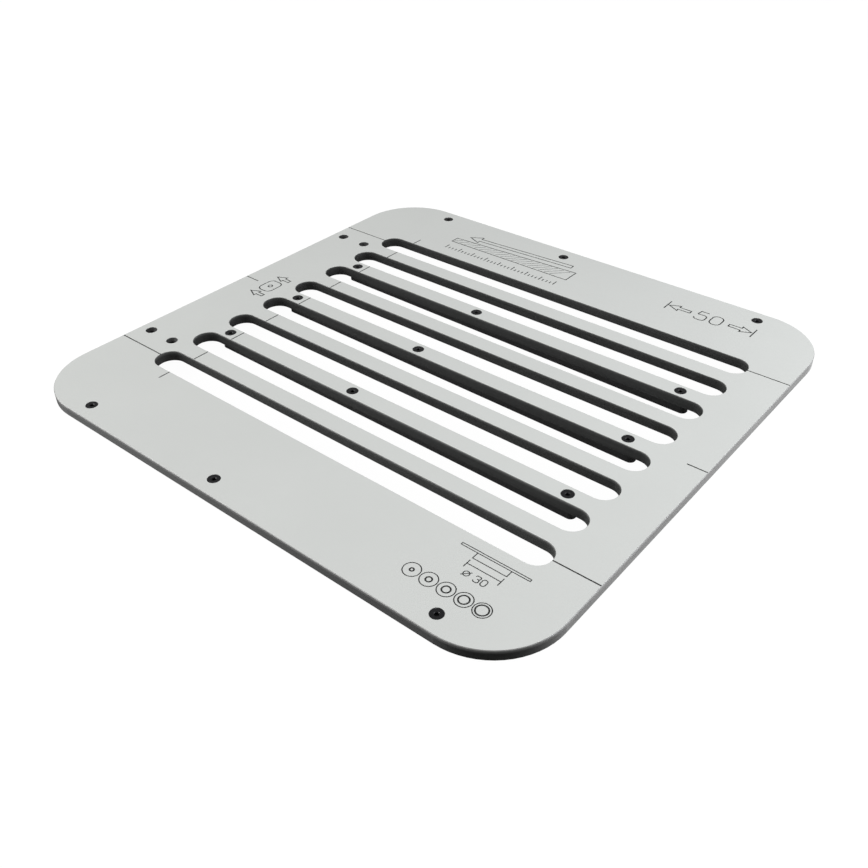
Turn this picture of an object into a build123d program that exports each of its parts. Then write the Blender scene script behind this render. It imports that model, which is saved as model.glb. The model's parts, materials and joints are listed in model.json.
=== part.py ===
from build123d import *
from math import atan2, degrees
import os

# A slotted laminate panel on five tapered strips, for routing drainer grooves in a worktop.
# Millimetres. X runs along the slots, away from the sink. Y runs from the front edge to the
# back. Z is up, and the panel is level. The origin is under the panel's centre, at the height
# of the lowest point, the underside of the strips at their deep end.

# Panel: a black core with a pale decor sheet on top
PANEL_LENGTH = 596.5  # along X
PANEL_WIDTH = 584.0  # along Y
PANEL_THICKNESS = 11.0
DECOR_THICKNESS = 0.15
CORNER_RADIUS = 69.0
UPPER_EDGE_CHAMFER = 0.5
LOWER_EDGE_CHAMFER = 0.7

# Slots for a 30 mm guide bush
SLOT_COUNT = 8
SLOT_PITCH = 50.0
SLOT_WIDTH = 30.2
UPPER_SLOT_CHAMFER = 0.5
LOWER_SLOT_CHAMFER = 0.2
SINK_MARGIN = 64.0  # from the sink edge to the slots
OUTER_MARGIN = 45.0  # from the slots to the outer edge

# Tapered strips, shallow at the sink end
STRIP_LENGTH = 450.0
STRIP_WIDTH = 12.0
STRIP_END_RADIUS = 5.5
STRIP_START = 77.0  # from the sink edge to the shallow end
SHALLOW_HEIGHT = 6.7
DEEP_HEIGHT = 10.2
EDGE_ROW_INSET = 17.2  # from the front or back edge to its row of screws

# Countersunk M6 screws with a hexagon socket, three in each strip
SCREW_PLACES = {"sink": 10.0, "middle": 190.0, "outer": 440.0}  # from a strip's shallow end
SCREW_LENGTH = 16.0
SHANK_DIAMETER = 6.0
HEAD_DIAMETER = 12.0
SOCKET_ACROSS_FLATS = 4.0
SOCKET_DEPTH = 2.2
SOCKET_ENTRY_DIAMETER = 5.0
COUNTERSINK_DIAMETER = 12.4
CLEARANCE_DIAMETER = 6.5
TAPPED_DEPTH = 6.0

# Four empty countersunk holes by the sink edge
FIXING_INSET = 33.0  # from the sink edge to the pattern's centre
FIXING_SPACING_X = 35.0
FIXING_SPACING_Y = 300.0

# Engraving, cut through the top decor sheet
LINE_WIDTH = 1.5
FINE_LINE_WIDTH = 1.0

# Heights and places that follow from the sizes above
PANEL_BOTTOM = DEEP_HEIGHT
PANEL_TOP = PANEL_BOTTOM + PANEL_THICKNESS
CORE_TOP = PANEL_TOP - DECOR_THICKNESS
SINK_EDGE = -PANEL_LENGTH / 2
OUTER_EDGE = PANEL_LENGTH / 2
FRONT_EDGE = -PANEL_WIDTH / 2
SLOT_LENGTH = PANEL_LENGTH - SINK_MARGIN - OUTER_MARGIN
SLOT_X = (SINK_MARGIN - OUTER_MARGIN) / 2
SLOT_ROWS = [(row - (SLOT_COUNT - 1) / 2) * SLOT_PITCH for row in range(SLOT_COUNT)]
RIM_HALF_WIDTH = SLOT_WIDTH / 2 + UPPER_SLOT_CHAMFER
STRIP_SINK_END = SINK_EDGE + STRIP_START
EDGE_ROW = PANEL_WIDTH / 2 - EDGE_ROW_INSET
STRIP_ROWS = [-EDGE_ROW, -2 * SLOT_PITCH, 0.0, 2 * SLOT_PITCH, EDGE_ROW]
MARGIN = 1.0  # how far a cutter runs past the face it opens


def cone(top_diameter, low_diameter, top):
    # Its sides slope at 45 degrees, so its height is the difference of its radii
    height = (top_diameter - low_diameter) / 2
    return Pos(0, 0, top - height / 2) * Cone(low_diameter / 2, top_diameter / 2, height)


def cylinder(diameter, bottom, top):
    return Pos(0, 0, (bottom + top) / 2) * Cylinder(diameter / 2, top - bottom)


# Panel


def panel_outline(inset=0.0):
    length = PANEL_LENGTH - 2 * inset
    width = PANEL_WIDTH - 2 * inset
    return RectangleRounded(length, width, CORNER_RADIUS - inset)


def slotted_outline(edge_inset=0.0, slot_margin=0.0):
    slot = SlotOverall(SLOT_LENGTH + 2 * slot_margin, SLOT_WIDTH + 2 * slot_margin)
    return panel_outline(edge_inset) - [Pos(SLOT_X, y) * slot for y in SLOT_ROWS]


def screw_points(row):
    return [(STRIP_SINK_END + place, row) for place in SCREW_PLACES.values()]


def fixing_points():
    centre = SINK_EDGE + FIXING_INSET
    return [
        (centre + x * FIXING_SPACING_X / 2, y * FIXING_SPACING_Y / 2) for x in (-1, 1) for y in (-1, 1)
    ]


def at_all_holes(cutter):
    points = [point for row in STRIP_ROWS for point in screw_points(row)] + fixing_points()
    return [Pos(x, y) * cutter for x, y in points]


def core_panel():
    core = Pos(0, 0, PANEL_BOTTOM) * extrude(slotted_outline(), amount=CORE_TOP - PANEL_BOTTOM)
    lower = (0, LOWER_EDGE_CHAMFER, LOWER_SLOT_CHAMFER)
    upper = (-1, UPPER_EDGE_CHAMFER, UPPER_SLOT_CHAMFER)
    for side, edge_chamfer, slot_chamfer in (lower, upper):
        face = core.faces().sort_by(Axis.Z)[side]
        core = chamfer(face.outer_wire().edges(), edge_chamfer)
        face = core.faces().sort_by(Axis.Z)[side]
        core = chamfer([edge for wire in face.inner_wires() for edge in wire.edges()], slot_chamfer)
    countersink = cone(COUNTERSINK_DIAMETER + 2 * MARGIN, CLEARANCE_DIAMETER, CORE_TOP + MARGIN)
    clearance = cylinder(CLEARANCE_DIAMETER, PANEL_BOTTOM - MARGIN, CORE_TOP)
    return core - at_all_holes(countersink + clearance)


def decor_sheet():
    sheet = extrude(slotted_outline(UPPER_EDGE_CHAMFER, UPPER_SLOT_CHAMFER), amount=DECOR_THICKNESS)
    hole = cylinder(COUNTERSINK_DIAMETER, CORE_TOP - MARGIN, PANEL_TOP + MARGIN)
    return Pos(0, 0, CORE_TOP) * sheet - at_all_holes(hole) - engraving()


# Engraving. Its sketches are placed from the sink edge and the front edge.


def stroke(points, radius=0.0, width=FINE_LINE_WIDTH):
    path = FilletPolyline(*points, radius=radius) if radius else Polyline(*points)
    return trace(path, line_width=width)


def ring(diameter, width=FINE_LINE_WIDTH):
    return Circle((diameter + width) / 2) - Circle((diameter - width) / 2)


def rounded_frame(length, height, radius, width=LINE_WIDTH):
    outer = RectangleRounded(length + width, height + width, radius + width / 2)
    return outer - RectangleRounded(length - width, height - width, radius - width / 2)


def arrow(length, breadth):
    # An outlined arrow along +Y from the origin, with a head as long as it is broad
    head = length - breadth
    shaft = breadth / 5
    right = [(0, 0), (shaft, 0), (shaft, head), (breadth / 2, head), (0, length)]
    left = [(-x, y) for x, y in reversed(right[1:-1])]
    return stroke(right + left + right[:1], width=LINE_WIDTH)


# Figures 1 high, each as strokes of (points, corner radius)
BOWL = 0.2
FIGURE_PITCH = 0.93
FIGURES = {
    "0": [([(0, 0), (0.65, 0), (0.65, 1), (0, 1), (0, 0)], 0.31)],
    "3": [
        ([(0, 0.78), (0, 1), (0.65, 1), (0.65, 0.54), (0.3, 0.54)], BOWL),
        ([(0.3, 0.54), (0.65, 0.54), (0.65, 0), (0, 0), (0, 0.22)], BOWL),
    ],
    "5": [
        ([(0.6, 1), (0.1, 1), (0.05, 0.6)], 0),
        ([(0.05, 0.6), (0.65, 0.65), (0.65, 0), (0, 0), (0, 0.2)], BOWL),
    ],
}


def number(figures, height, width):
    sketch = Sketch()
    for index, figure in enumerate(figures):
        start = index * FIGURE_PITCH
        for points, radius in FIGURES[figure]:
            line = [((start + along) * height, up * height) for along, up in points]
            sketch += stroke(line, radius * height, width)
    return sketch


def slot_centre_lines():
    # From both edges to the first and last slots, and a short one at the middle of each edge
    sink_rim = SINK_MARGIN - UPPER_SLOT_CHAMFER
    outer_rim = PANEL_LENGTH - OUTER_MARGIN + UPPER_SLOT_CHAMFER
    middle = PANEL_WIDTH / 2
    centre_tick = 20.5
    spans = [(-MARGIN, centre_tick, middle), (PANEL_LENGTH - centre_tick, PANEL_LENGTH + MARGIN, middle)]
    for row in (SLOT_ROWS[0], SLOT_ROWS[-1]):
        spans.append((-MARGIN, sink_rim + MARGIN, middle + row))
        spans.append((outer_rim - MARGIN, PANEL_LENGTH + MARGIN, middle + row))
    lines = Sketch()
    for start, end, y in spans:
        lines += stroke([(start, y), (end, y)], width=LINE_WIDTH)
    return lines


def cross_line():
    # One line over all the bars between the slots, a tick long past the first and last slots
    x = 98.5
    tick = 13.5
    reach = SLOT_ROWS[-1] + RIM_HALF_WIDTH + tick
    middle = PANEL_WIDTH / 2
    return stroke([(x, middle - reach), (x, middle + reach)], width=LINE_WIDTH)


def sink_symbol():
    # A bowl with its drain, between two arrows to the sink edge
    x = 41.2
    length = 20.0
    arrow_spacing = 42.0
    bowl = rounded_frame(length - LINE_WIDTH, 24.0, 6.0) + ring(5.0, LINE_WIDTH)
    side_arrow = Pos(length / 2, 0) * Rot(0, 0, 90) * arrow(length, 11.0)
    symbol = bowl + [Pos(0, side * arrow_spacing / 2) * side_arrow for side in (-1, 1)]
    return Pos(x, PANEL_WIDTH / 2) * symbol


def guide_bush_drawing():
    # The bush seen from the side: its flange, its barrel and the barrel's diameter
    left, right = 501.7, 534.6
    end, shoulder, back = 80.0, 87.0, 89.3
    flange = stroke([(485, shoulder), (551.5, shoulder), (551.5, back), (485, back), (485, shoulder)])
    barrel = stroke([(left, shoulder), (left, end), (right, end), (right, shoulder)])
    dimension = stroke([(left, 72.8), (right, 72.8)])
    for x in (left, right):
        dimension += stroke([(x, 68), (x, 77.3)])
    diameter_sign = ring(5.4) + stroke([(-3.4, -3.4), (3.4, 3.4)])
    label = Pos(508.5, 63.4) * diameter_sign + Pos(516.5, 60) * number("30", 7.0, FINE_LINE_WIDTH)
    return flange + barrel + dimension + label


def pitch_drawing():
    # The slots' pitch, between two arrows
    bottom, height = 529.5, 19.0
    left, right = 424.0, 525.5
    arrow_tail = 28.0  # from the mark that the arrow points at
    drawing = Pos(459, bottom) * number("50", height, LINE_WIDTH)
    tails = [Pos(left + arrow_tail, 0) * Rot(0, 0, 90), Pos(right - arrow_tail, 0) * Rot(0, 0, -90)]
    for x in (left, right):
        drawing += stroke([(x, bottom), (x, bottom + height)], width=LINE_WIDTH)
    return drawing + [Pos(0, bottom + height / 2) * tail * arrow(26.0, 12.0) for tail in tails]


def fall_drawing():
    # A strip's section, hatched, with an arrow down its fall
    length, shallow, deep = 170.0, 11.0, 22.0
    slope = (deep - shallow) / length
    section = [(0, 0), (length, 0), (length, deep), (0, shallow), (0, 0)]
    drawing = stroke(section, width=LINE_WIDTH)
    gap, pitch, count = 1.8, 8.0, 19
    for index in range(count):
        x = index * pitch
        height = (shallow + slope * x) / (1 - slope)
        drawing += stroke([(x + gap, gap), (x + height - gap, height - gap)])
    down = Pos(158, 32.5) * Rot(0, 0, 90 + degrees(atan2(deep - shallow, length))) * arrow(146.0, 15.0)
    return Pos(132, 518) * (drawing + down)


def graduations():
    marks = Sketch()
    for index in range(33):
        length = 9.0 if index % 4 == 0 else 5.0
        x = 136.0 + 5 * index
        marks += stroke([(x, 499), (x, 499 + length)], width=LINE_WIDTH)
    return marks


def cutter_gauge():
    # Circles of growing diameter in equal rings, to compare cutters with
    rings = Sketch()
    for index in range(5):
        rings += Pos(473 + 17 * index, 40.5) * (ring(15.2) + ring(3.5 + 1.8 * index, LINE_WIDTH))
    return rings


def engraving():
    sketch = (
        slot_centre_lines()
        + cross_line()
        + sink_symbol()
        + guide_bush_drawing()
        + pitch_drawing()
        + fall_drawing()
        + graduations()
        + cutter_gauge()
    )
    placed = Pos(SINK_EDGE, FRONT_EDGE, CORE_TOP) * sketch
    return extrude(placed, amount=DECOR_THICKNESS + MARGIN)


# Strips


def strip(row):
    side = [
        (STRIP_SINK_END, PANEL_BOTTOM),
        (STRIP_SINK_END + STRIP_LENGTH, PANEL_BOTTOM),
        (STRIP_SINK_END + STRIP_LENGTH, PANEL_BOTTOM - DEEP_HEIGHT),
        (STRIP_SINK_END, PANEL_BOTTOM - SHALLOW_HEIGHT),
    ]
    wedge = extrude(Plane.XZ * make_face(Polyline(*side, close=True)), amount=STRIP_WIDTH / 2, both=True)
    plan = RectangleRounded(STRIP_LENGTH, STRIP_WIDTH, STRIP_END_RADIUS)
    prism = Pos(STRIP_SINK_END + STRIP_LENGTH / 2, 0) * extrude(plan, amount=PANEL_BOTTOM)
    body = Pos(0, row) * (wedge & prism)
    tapped = cylinder(SHANK_DIAMETER, PANEL_BOTTOM - TAPPED_DEPTH, PANEL_BOTTOM + MARGIN)
    return body - [Pos(x, y) * tapped for x, y in screw_points(row)]


def screw():
    # The head's cone rests on the countersink's
    top = CORE_TOP - (COUNTERSINK_DIAMETER - HEAD_DIAMETER) / 2
    head = cone(HEAD_DIAMETER, SHANK_DIAMETER, top)
    shank = cylinder(SHANK_DIAMETER, top - SCREW_LENGTH, top - (HEAD_DIAMETER - SHANK_DIAMETER) / 2)
    hexagon = RegularPolygon(SOCKET_ACROSS_FLATS / 2, 6, major_radius=False)
    socket = Pos(0, 0, top - SOCKET_DEPTH) * extrude(hexagon, amount=SOCKET_DEPTH + MARGIN)
    socket += cone(SOCKET_ENTRY_DIAMETER + 2 * MARGIN, SOCKET_ACROSS_FLATS, top + MARGIN)
    return head + shank - socket


def build_parts():
    parts = {
        "core_panel": core_panel(),
        "top_decor_sheet": decor_sheet(),
    }
    for number, row in enumerate(STRIP_ROWS, start=1):
        parts[f"ramp_strip_{number}"] = strip(row)
        for place, (x, y) in zip(SCREW_PLACES, screw_points(row)):
            parts[f"strip_{number}_screw_{place}"] = Pos(x, y) * screw()
    return parts


os.makedirs("parts", exist_ok=True)
for node, solid in build_parts().items():
    export_step(solid, f"parts/{node}.step")
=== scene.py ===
"""A slotted router guide panel on tapered strips, on a pale studio floor."""
import json
from math import cos, radians, sin

import bpy
from mathutils import Matrix, Vector


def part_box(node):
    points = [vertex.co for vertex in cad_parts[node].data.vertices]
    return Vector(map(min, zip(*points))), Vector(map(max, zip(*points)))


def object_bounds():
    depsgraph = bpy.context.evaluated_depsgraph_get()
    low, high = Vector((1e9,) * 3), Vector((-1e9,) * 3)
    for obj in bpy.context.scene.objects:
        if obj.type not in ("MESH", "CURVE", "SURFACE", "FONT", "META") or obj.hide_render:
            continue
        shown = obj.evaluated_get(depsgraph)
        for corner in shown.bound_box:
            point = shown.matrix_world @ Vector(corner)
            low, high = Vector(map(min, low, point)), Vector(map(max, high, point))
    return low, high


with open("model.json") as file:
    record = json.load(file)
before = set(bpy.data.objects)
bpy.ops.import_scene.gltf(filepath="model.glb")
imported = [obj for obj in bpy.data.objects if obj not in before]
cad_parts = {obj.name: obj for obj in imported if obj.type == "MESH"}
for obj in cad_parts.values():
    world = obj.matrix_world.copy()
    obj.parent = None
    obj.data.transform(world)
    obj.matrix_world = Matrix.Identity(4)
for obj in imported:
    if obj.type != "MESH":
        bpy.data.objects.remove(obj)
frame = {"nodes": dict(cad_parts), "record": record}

CAD_LOW, CAD_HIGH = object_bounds()
NODES = frame["nodes"]
PANEL_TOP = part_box("core_panel")[1].z
WHITE = (1.0, 1.0, 1.0)


def opaque(color):
    """A color with full alpha, for the sockets that have one."""
    return (*color, 1.0)


# Node helpers

# The mix node's sockets for colors share their names with others, so they go by their place
MIX_COLORS = (6, 7)
MIX_RESULT = 2


class Nodes:
    """A node tree whose nodes are added by name."""

    def __init__(self, tree):
        self.tree = tree

    def add(self, kind, **inputs):
        """A new node, with values or links for its inputs."""
        node = self.tree.nodes.new(kind)
        for name, value in inputs.items():
            self.put(node.inputs[name.replace("_", " ")], value)
        return node

    def put(self, socket, value):
        """Links value to the socket if it is a socket too, and sets it if not."""
        if isinstance(value, bpy.types.NodeSocket):
            self.tree.links.new(value, socket)
        else:
            socket.default_value = value

    def position(self):
        """The shaded point, in the object's metres."""
        return self.add("ShaderNodeTexCoord").outputs["Object"]

    def stretched(self, scale):
        node = self.add("ShaderNodeMapping", Vector=self.position())
        node.inputs["Scale"].default_value = scale
        return node.outputs["Vector"]

    def noise(self, scale, detail=3.0, roughness=0.5, stretch=None):
        vector = self.stretched(stretch) if stretch else self.position()
        node = self.add("ShaderNodeTexNoise", Vector=vector, Scale=scale, Detail=detail, Roughness=roughness)
        return node.outputs["Fac"]

    def spread(self, value, low, high, start=0.0, end=1.0):
        """value, from start to end, becomes low to high, and no further."""
        node = self.add("ShaderNodeMapRange", Value=value)
        for name, number in (("From Min", start), ("From Max", end), ("To Min", low), ("To Max", high)):
            node.inputs[name].default_value = number
        return node.outputs["Result"]

    def math(self, operation, first, second=0.0):
        node = self.tree.nodes.new("ShaderNodeMath")
        node.operation = operation
        self.put(node.inputs[0], first)
        self.put(node.inputs[1], second)
        return node.outputs["Value"]

    def tint(self, color, value):
        """color, times value."""
        node = self.tree.nodes.new("ShaderNodeVectorMath")
        node.operation = "SCALE"
        node.inputs[0].default_value = color
        self.put(node.inputs["Scale"], value)
        return node.outputs["Vector"]

    def blend(self, factor, first, second):
        """The color first where factor is 0, and second where it is 1."""
        node = self.tree.nodes.new("ShaderNodeMix")
        node.data_type = "RGBA"
        self.put(node.inputs["Factor"], factor)
        for index, color in zip(MIX_COLORS, (first, second)):
            self.put(node.inputs[index], opaque(color) if isinstance(color, tuple) else color)
        return node.outputs[MIX_RESULT]

    def parts_of(self, vector):
        node = self.add("ShaderNodeSeparateXYZ", Vector=vector)
        return [node.outputs[axis] for axis in "XYZ"]

    def distance(self, vector, point):
        node = self.add("ShaderNodeVectorMath", Vector=vector)
        node.operation = "DISTANCE"
        node.inputs[1].default_value = point
        return node.outputs["Value"]

    def bump(self, height, distance, under=None):
        node = self.add("ShaderNodeBump", Height=height, Distance=distance)
        if under:
            self.put(node.inputs["Normal"], under)
        return node.outputs["Normal"]

    def towards(self, way, heading):
        """How far way reaches along the unit vector heading."""
        node = self.tree.nodes.new("ShaderNodeVectorMath")
        node.operation = "DOT_PRODUCT"
        self.put(node.inputs[0], way)
        node.inputs[1].default_value = heading
        return node.outputs["Value"]


class Shader(Nodes):
    """A material with one principled surface."""

    def __init__(self, name):
        self.material = bpy.data.materials.new(name)
        self.material.use_nodes = True
        super().__init__(self.material.node_tree)
        self.surface = self.tree.nodes["Principled BSDF"]

    def finish(self, **inputs):
        for name, value in inputs.items():
            self.put(self.surface.inputs[name.replace("_", " ")], value)
        return self.material


# Materials. Colors are linear, and places and depths are in metres.

NOISE = (0.3, 0.7)  # the values that most of a noise texture has

FACE_GREY = (0.655, 0.669, 0.647)
PEBBLE_DEPTH = 0.00003
RUB_DEPTH = 0.00002

CORE_BLACK = (0.0135, 0.014, 0.0135)
CUTTER_DEPTH = 0.000012
STRATA_DEPTH = 0.00003
# Painted highlight on the upper chamfers, in the slots and at the rim
CHAMFER_HIGHLIGHTS = ((0.11, 0.112, 0.108), (0.235, 0.234, 0.228))  # upper chamfers: in the slots, at the rim
# Painted highlight on the tops of the walls: its colours, how far down it reaches, and its fade along Y
WALL_TOP_HIGHLIGHTS = ((0.085, 0.0865, 0.084), (0.16, 0.16, 0.157))  # tops of the walls: in the slots, at the rim
WALL_TOP_HIGHLIGHT_DEPTH = 0.0035
SLOTS_TO_RIM = (0.258, 0.27)  # from the panel's middle: past every slot, and short of the rim
# Painted light on the walls of the front slots fades out between these along Y
FRONT_LIGHT_FADE = (-0.15, -0.1)  # along Y
WALL_TOP_HIGHLIGHT_FADE = (-0.15, -0.02)  # along Y

# How far up a normal points: from the walls, through the chamfers, to the level faces
WALL_END = (0.0, 0.3)
CHAMFER_START = (0.3, 0.5)
CHAMFER_END = (0.8, 0.95)

FIXING = next(mount for mount in frame["record"]["mounts"] if mount["name"] == "fixing_holes")
FIXING_X = FIXING["pos_m"][0]
FIXING_Y = FIXING["dims"]["spacing_y_mm"] / 2000
BACK_PAIR = (FIXING_X, FIXING_Y, PANEL_TOP)  # the middle of the two fixing holes nearer the back
PAIR_TO_RIM = (0.0265, 0.028)  # from there: past both holes, and short of the rim

STRIP_BLACK = (0.013, 0.013, 0.013)
STRIP_SPECULAR = 0.38
SAW_DEPTH = 0.00003

SCREW_BLACK = (0.009, 0.009, 0.01)
SCREW_SPECULAR = 0.3
SCREW_GRAIN_DEPTH = 0.00002


def decor_laminate():
    """Light grey laminate: faint speckle and clouding, a fine pebbled face, and rub marks along the slots."""
    s = Shader("decor_laminate")
    speckle = s.noise(1400.0, detail=2.0)
    clouds = s.noise(7.0, detail=4.0, roughness=0.6)
    rubs = s.noise(1.0, detail=5.0, roughness=0.65, stretch=(9.0, 420.0, 9.0))
    shade = s.math("MULTIPLY", s.spread(speckle, 0.98, 1.02), s.spread(clouds, 0.985, 1.015, *NOISE))
    rough = s.math("ADD", s.spread(rubs, -0.05, 0.05, *NOISE), s.spread(clouds, 0.4, 0.5))
    pebble = s.bump(s.noise(2600.0, detail=2.0), PEBBLE_DEPTH)
    scuffs = s.bump(rubs, RUB_DEPTH, under=pebble)
    return s.finish(Base_Color=s.tint(FACE_GREY, shade), Roughness=rough, Normal=scuffs)


def phenolic_core():
    """Black laminate core: strata and cutter marks, with painted highlights on the upper chamfers and the
    tops of the walls, strongest at the rim and the front, and painted light in the front slots.
    """
    s = Shader("phenolic_core")
    strata = s.noise(1.0, detail=4.0, roughness=0.7, stretch=(12.0, 12.0, 1500.0))
    grain = s.noise(900.0, detail=4.0, roughness=0.65)
    marks = s.noise(1.0, detail=2.0, stretch=(1500.0, 1500.0, 40.0))
    shade = s.math("MULTIPLY", s.spread(strata, 0.6, 1.5, *NOISE), s.spread(grain, 0.75, 1.25, *NOISE))
    x, y, height = s.parts_of(s.position())
    upward = s.parts_of(s.add("ShaderNodeNewGeometry").outputs["True Normal"])[2]
    reach = s.math("MAXIMUM", s.math("ABSOLUTE", x), s.math("ABSOLUTE", y))
    at_rim = s.spread(reach, 0.0, 1.0, *SLOTS_TO_RIM)
    at_back = s.add("ShaderNodeCombineXYZ", X=x, Y=s.math("ABSOLUTE", y), Z=height)
    from_holes = s.distance(at_back.outputs["Vector"], BACK_PAIR)

    # The walls: painted light on the walls of the front slots, and a painted highlight near the top
    in_slots = s.spread(at_rim, 1.0, 0.0)
    front_slot_light = s.math("MULTIPLY", in_slots, s.spread(y, 0.8, 0.1, *FRONT_LIGHT_FADE))
    body = s.tint(CORE_BLACK, s.math("MULTIPLY", shade, s.math("ADD", front_slot_light, 1.0)))
    upright = s.spread(upward, 1.0, 0.0, *WALL_END)
    # Painted highlight along the tops of the walls, weaker towards the back
    near_top = s.spread(height, 0.0, 1.0, PANEL_TOP - WALL_TOP_HIGHLIGHT_DEPTH, PANEL_TOP)
    wall_top_highlight = s.math("MULTIPLY", upright, s.math("MULTIPLY", near_top, s.spread(y, 1.0, 0.4, *WALL_TOP_HIGHLIGHT_FADE)))
    wall = s.blend(wall_top_highlight, body, s.blend(at_rim, *WALL_TOP_HIGHLIGHTS))

    # The upper chamfers: a painted highlight on the faces that slope up, brighter at the rim than in the
    # slots, apart from the countersinks of the fixing holes
    above_walls = s.spread(upward, 0.0, 1.0, *CHAMFER_START)
    sloped = s.math("MULTIPLY", above_walls, s.spread(upward, 1.0, 0.0, *CHAMFER_END))
    grainy_chamfer_highlight = s.math("MULTIPLY", sloped, s.spread(grain, 0.85, 1.0, *NOISE))
    chamfer_highlight = s.math("MULTIPLY", grainy_chamfer_highlight, s.spread(from_holes, 0.0, 1.0, *PAIR_TO_RIM))
    color = s.blend(chamfer_highlight, wall, s.blend(at_rim, *CHAMFER_HIGHLIGHTS))

    sheen = s.math("ADD", s.spread(grain, 0.32, 0.46, *NOISE), s.spread(strata, -0.08, 0.08, *NOISE))
    rough = s.math("ADD", sheen, s.spread(from_holes, 0.4, 0.0, *PAIR_TO_RIM))
    layered = s.bump(strata, STRATA_DEPTH, under=s.bump(marks, CUTTER_DEPTH))
    return s.finish(Base_Color=color, Roughness=rough, Normal=layered)


def strip_plastic():
    """Black machined plastic with long faint saw lines."""
    s = Shader("strip_plastic")
    s.surface.inputs["Specular IOR Level"].default_value = STRIP_SPECULAR
    saw = s.noise(1.0, detail=4.0, roughness=0.6, stretch=(14.0, 900.0, 900.0))
    grain = s.noise(1100.0, detail=3.0)
    shade = s.math("MULTIPLY", s.spread(saw, 0.8, 1.25, *NOISE), s.spread(grain, 0.9, 1.1, *NOISE))
    rough = s.spread(saw, 0.38, 0.5, *NOISE)
    return s.finish(Base_Color=s.tint(STRIP_BLACK, shade), Roughness=rough, Normal=s.bump(saw, SAW_DEPTH))


def black_oxide():
    """Blackened steel with a slightly uneven sheen."""
    s = Shader("black_oxide")
    s.surface.inputs["Specular IOR Level"].default_value = SCREW_SPECULAR
    patches = s.noise(700.0, detail=4.0, roughness=0.6)
    fine = s.noise(4200.0, detail=2.0)
    color = s.tint(SCREW_BLACK, s.spread(patches, 0.75, 1.3, *NOISE))
    rough = s.spread(patches, 0.3, 0.5, *NOISE)
    return s.finish(Base_Color=color, Roughness=rough, Normal=s.bump(fine, SCREW_GRAIN_DEPTH))


FINISHES = {
    "decor_grey": decor_laminate(),
    "core_black": phenolic_core(),
    "strip_black": strip_plastic(),
    "screw_black": black_oxide(),
}
for part in frame["record"]["subparts"]:
    slots = NODES[part["node"]].data.materials
    for index in range(len(slots)):
        slots[index] = FINISHES[part["material_slot"]]


# Studio. Azimuths are from the front, turning to the right, and all angles are in degrees.

CAMERA_AZIMUTH = 39.848
CAMERA_ELEVATION = 36.456
CAMERA_ROLL = -0.675
CAMERA_PLACE = (0.53059, -0.64920, 0.54485)
LENS = 39.770

FLOOR_HALF = 6.0
FLOOR_CORNER = 1.0
FLOOR_GREY = (0.06, 0.06, 0.06)
FLOOR_GLOW = 0.975
CORNER_STEPS = 12
MATTE = 0.9

CARD_INSET = 0.001
CARD_DROP = 0.0005
CARD_CORNER = 0.068
# The card's dark colour is a painted shadow at its front corner
CARD_PALE, CARD_SHADOW = (0.8, 0.8, 0.8), (0.01, 0.01, 0.01)
CORNER_AZIMUTH = 25.0
CORNER_START = (0.27, 0.35)  # the card turns dark over this stretch towards CORNER_AZIMUTH

SKY_LIGHT = 0.34
DARK_AZIMUTH = 32.0
DARK_SIDE = (0.55, -0.45)  # cosines of the angle to DARK_AZIMUTH: no light from below, and all of it
SIDE_CARD_AZIMUTH = -116.0
SIDE_CARD = (0.58, 0.78)  # cosines of the angle to SIDE_CARD_AZIMUTH: the soft edge of a dark card there
SIDE_CARD_LIGHT = 0.08
LEAST_BOUNCE = 0.03
MOST_BOUNCE = 2.1
BOUNCE_CURVE = 1.5
HORIZON = (-0.12, 0.0)  # heights of a unit direction: below it, and above it


def direction(azimuth, elevation):
    a, e = radians(azimuth), radians(elevation)
    return Vector((sin(a) * cos(e), -cos(a) * cos(e), sin(e)))


def place(name, data, location, back, roll=0.0):
    """Adds a lamp or the camera at location, its back turned along back."""
    obj = bpy.data.objects.new(name, data)
    obj.location = location
    obj.rotation_mode = "QUATERNION"
    turn = Matrix.Rotation(radians(roll), 3, "Z").to_quaternion()
    obj.rotation_quaternion = back.to_track_quat("Z", "Y") @ turn
    bpy.context.scene.collection.objects.link(obj)
    return obj


def flat_sheet(name, half_length, half_width, corner, height, material):
    """A level sheet of the stage with rounded corners."""
    mesh = bpy.data.meshes.new(name)
    outline = []
    for turn, (side, end) in enumerate(((1, 1), (-1, 1), (-1, -1), (1, -1))):
        for step in range(CORNER_STEPS + 1):
            angle = radians(90 * (turn + step / CORNER_STEPS))
            x = side * (half_length - corner) + corner * cos(angle)
            y = end * (half_width - corner) + corner * sin(angle)
            outline.append((x, y, height))
    mesh.from_pydata(outline, [], [range(len(outline))])
    mesh.materials.append(material)
    obj = bpy.data.objects.new(name, mesh)
    bpy.context.scene.collection.objects.link(obj)
    return obj


def floor():
    """A pale floor, seen from above only. It glows, so it stays almost white under the panel."""
    s = Shader("floor_paint")
    s.finish(
        Base_Color=opaque(FLOOR_GREY),
        Roughness=MATTE,
        Specular_IOR_Level=0.0,
        Emission_Color=opaque(WHITE),
        Emission_Strength=FLOOR_GLOW,
    )
    clear = s.add("ShaderNodeBsdfTransparent")
    side = s.add("ShaderNodeNewGeometry")
    mix = s.tree.nodes.new("ShaderNodeMixShader")
    s.put(mix.inputs[0], side.outputs["Backfacing"])
    s.put(mix.inputs[1], s.surface.outputs["BSDF"])
    s.put(mix.inputs[2], clear.outputs["BSDF"])
    s.put(s.tree.nodes["Material Output"].inputs["Surface"], mix.outputs["Shader"])
    obj = flat_sheet("floor", FLOOR_HALF, FLOOR_HALF, FLOOR_CORNER, CAD_LOW.z, s.material)
    obj.visible_glossy = False
    obj.visible_diffuse = False


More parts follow.
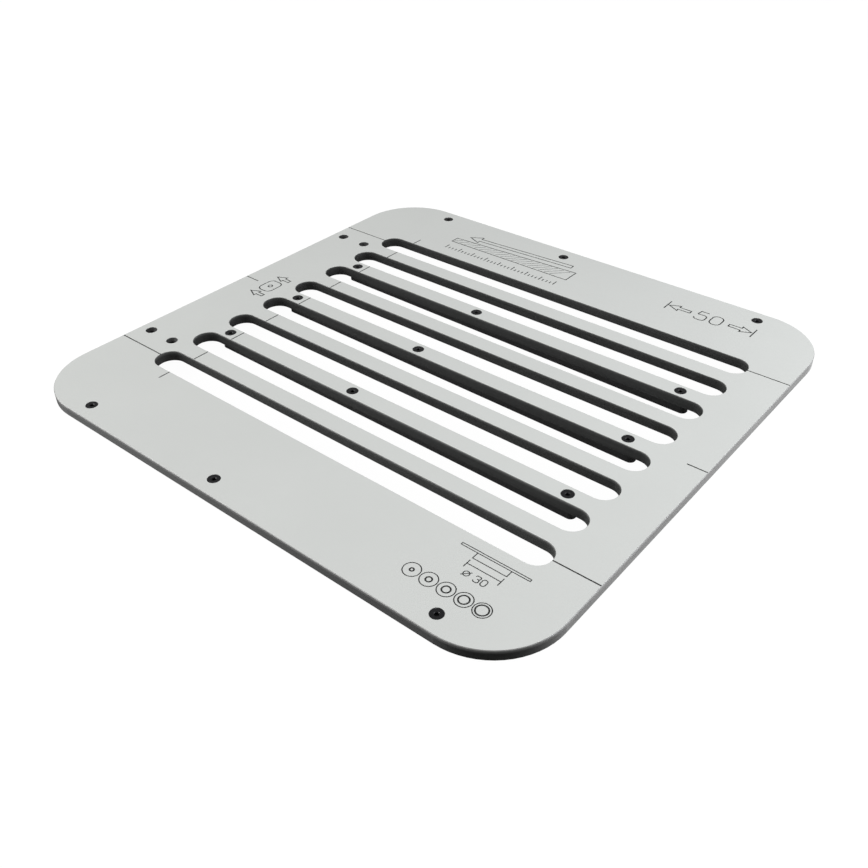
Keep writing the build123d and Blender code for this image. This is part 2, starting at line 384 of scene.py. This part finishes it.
def shade_card():
    """A card on the floor under the panel, in the panel's shadow, with a painted shadow at the front corner.
    Only reflections show it.
    """
    s = Shader("card_grey")
    to_corner = s.towards(s.position(), direction(CORNER_AZIMUTH, 0.0))
    paint = s.blend(s.spread(to_corner, 0.0, 1.0, *CORNER_START), CARD_PALE, CARD_SHADOW)
    s.finish(Base_Color=paint, Roughness=MATTE, Specular_IOR_Level=0.0)
    half_length, half_width = CAD_HIGH.x - CARD_INSET, CAD_HIGH.y - CARD_INSET
    obj = flat_sheet("shade_card", half_length, half_width, CARD_CORNER, CAD_LOW.z - CARD_DROP, s.material)
    obj.visible_camera = False
    obj.visible_diffuse = False
    obj.visible_shadow = False


def softbox(name, azimuth, elevation, distance, size, power, color=WHITE):
    """A soft light in a direction from the panel's centre, pointing at it.

    It is two lamps in one place. The pale face takes one that no reflection shows, so that it isn't
    washed out when it is seen from across the light. All the rest takes the other.
    """
    light = bpy.data.lights.new(name, "AREA")
    light.color = color
    light.shape = "RECTANGLE"
    light.size, light.size_y = size
    light.energy = power
    away = direction(azimuth, elevation)
    for part, state in (("face", "INCLUDE"), ("rest", "EXCLUDE")):
        lamp = place(f"{name}_{part}", light, away * distance, away)
        lit = bpy.data.collections.new(lamp.name)
        lit.objects.link(NODES["top_decor_sheet"])
        lit.collection_objects[0].light_linking.link_state = state
        lamp.light_linking.receiver_collection = lit
        lamp.visible_glossy = part == "rest"


def surroundings():
    """Even light from above, light from below that fades towards the dark front, and white behind it all."""
    world = bpy.data.worlds.new("studio")
    world.use_nodes = True
    bpy.context.scene.world = world
    s = Nodes(world.node_tree)
    way = s.add("ShaderNodeTexCoord").outputs["Generated"]
    away = s.spread(s.towards(way, direction(DARK_AZIMUTH, 0.0)), 0.0, 1.0, *DARK_SIDE)
    beside = s.towards(way, direction(SIDE_CARD_AZIMUTH, 0.0))
    open_side = s.spread(beside, 1.0, SIDE_CARD_LIGHT, *SIDE_CARD)
    bounce = s.math("MULTIPLY", s.math("POWER", away, BOUNCE_CURVE), open_side)
    below = s.math("ADD", s.math("MULTIPLY", bounce, MOST_BOUNCE), LEAST_BOUNCE)
    under = s.spread(s.parts_of(way)[2], 1.0, 0.0, *HORIZON)
    light = s.add("ShaderNodeMix", Factor=under, A=SKY_LIGHT, B=below)
    seen = s.add("ShaderNodeLightPath").outputs["Is Camera Ray"]
    strength = s.add("ShaderNodeMix", Factor=seen, A=light.outputs["Result"], B=1.0)
    background = s.tree.nodes["Background"]
    s.put(background.inputs["Color"], opaque(WHITE))
    s.put(background.inputs["Strength"], strength.outputs["Result"])


def studio():
    surroundings()
    floor()
    shade_card()
    softbox("key", azimuth=-43.0, elevation=22.0, distance=3.0, size=(3.0, 1.3), power=104.0)
    cool = (0.95, 0.965, 1.0)
    softbox("right", azimuth=116.0, elevation=19.0, distance=1.5, size=(1.4, 0.8), power=24.0, color=cool)


def camera():
    data = bpy.data.cameras.new("camera")
    data.lens = LENS
    back = direction(CAMERA_AZIMUTH, CAMERA_ELEVATION)
    bpy.context.scene.camera = place("camera", data, CAMERA_PLACE, back, CAMERA_ROLL)


studio()
camera()
bpy.context.scene.view_settings.view_transform = "Standard"
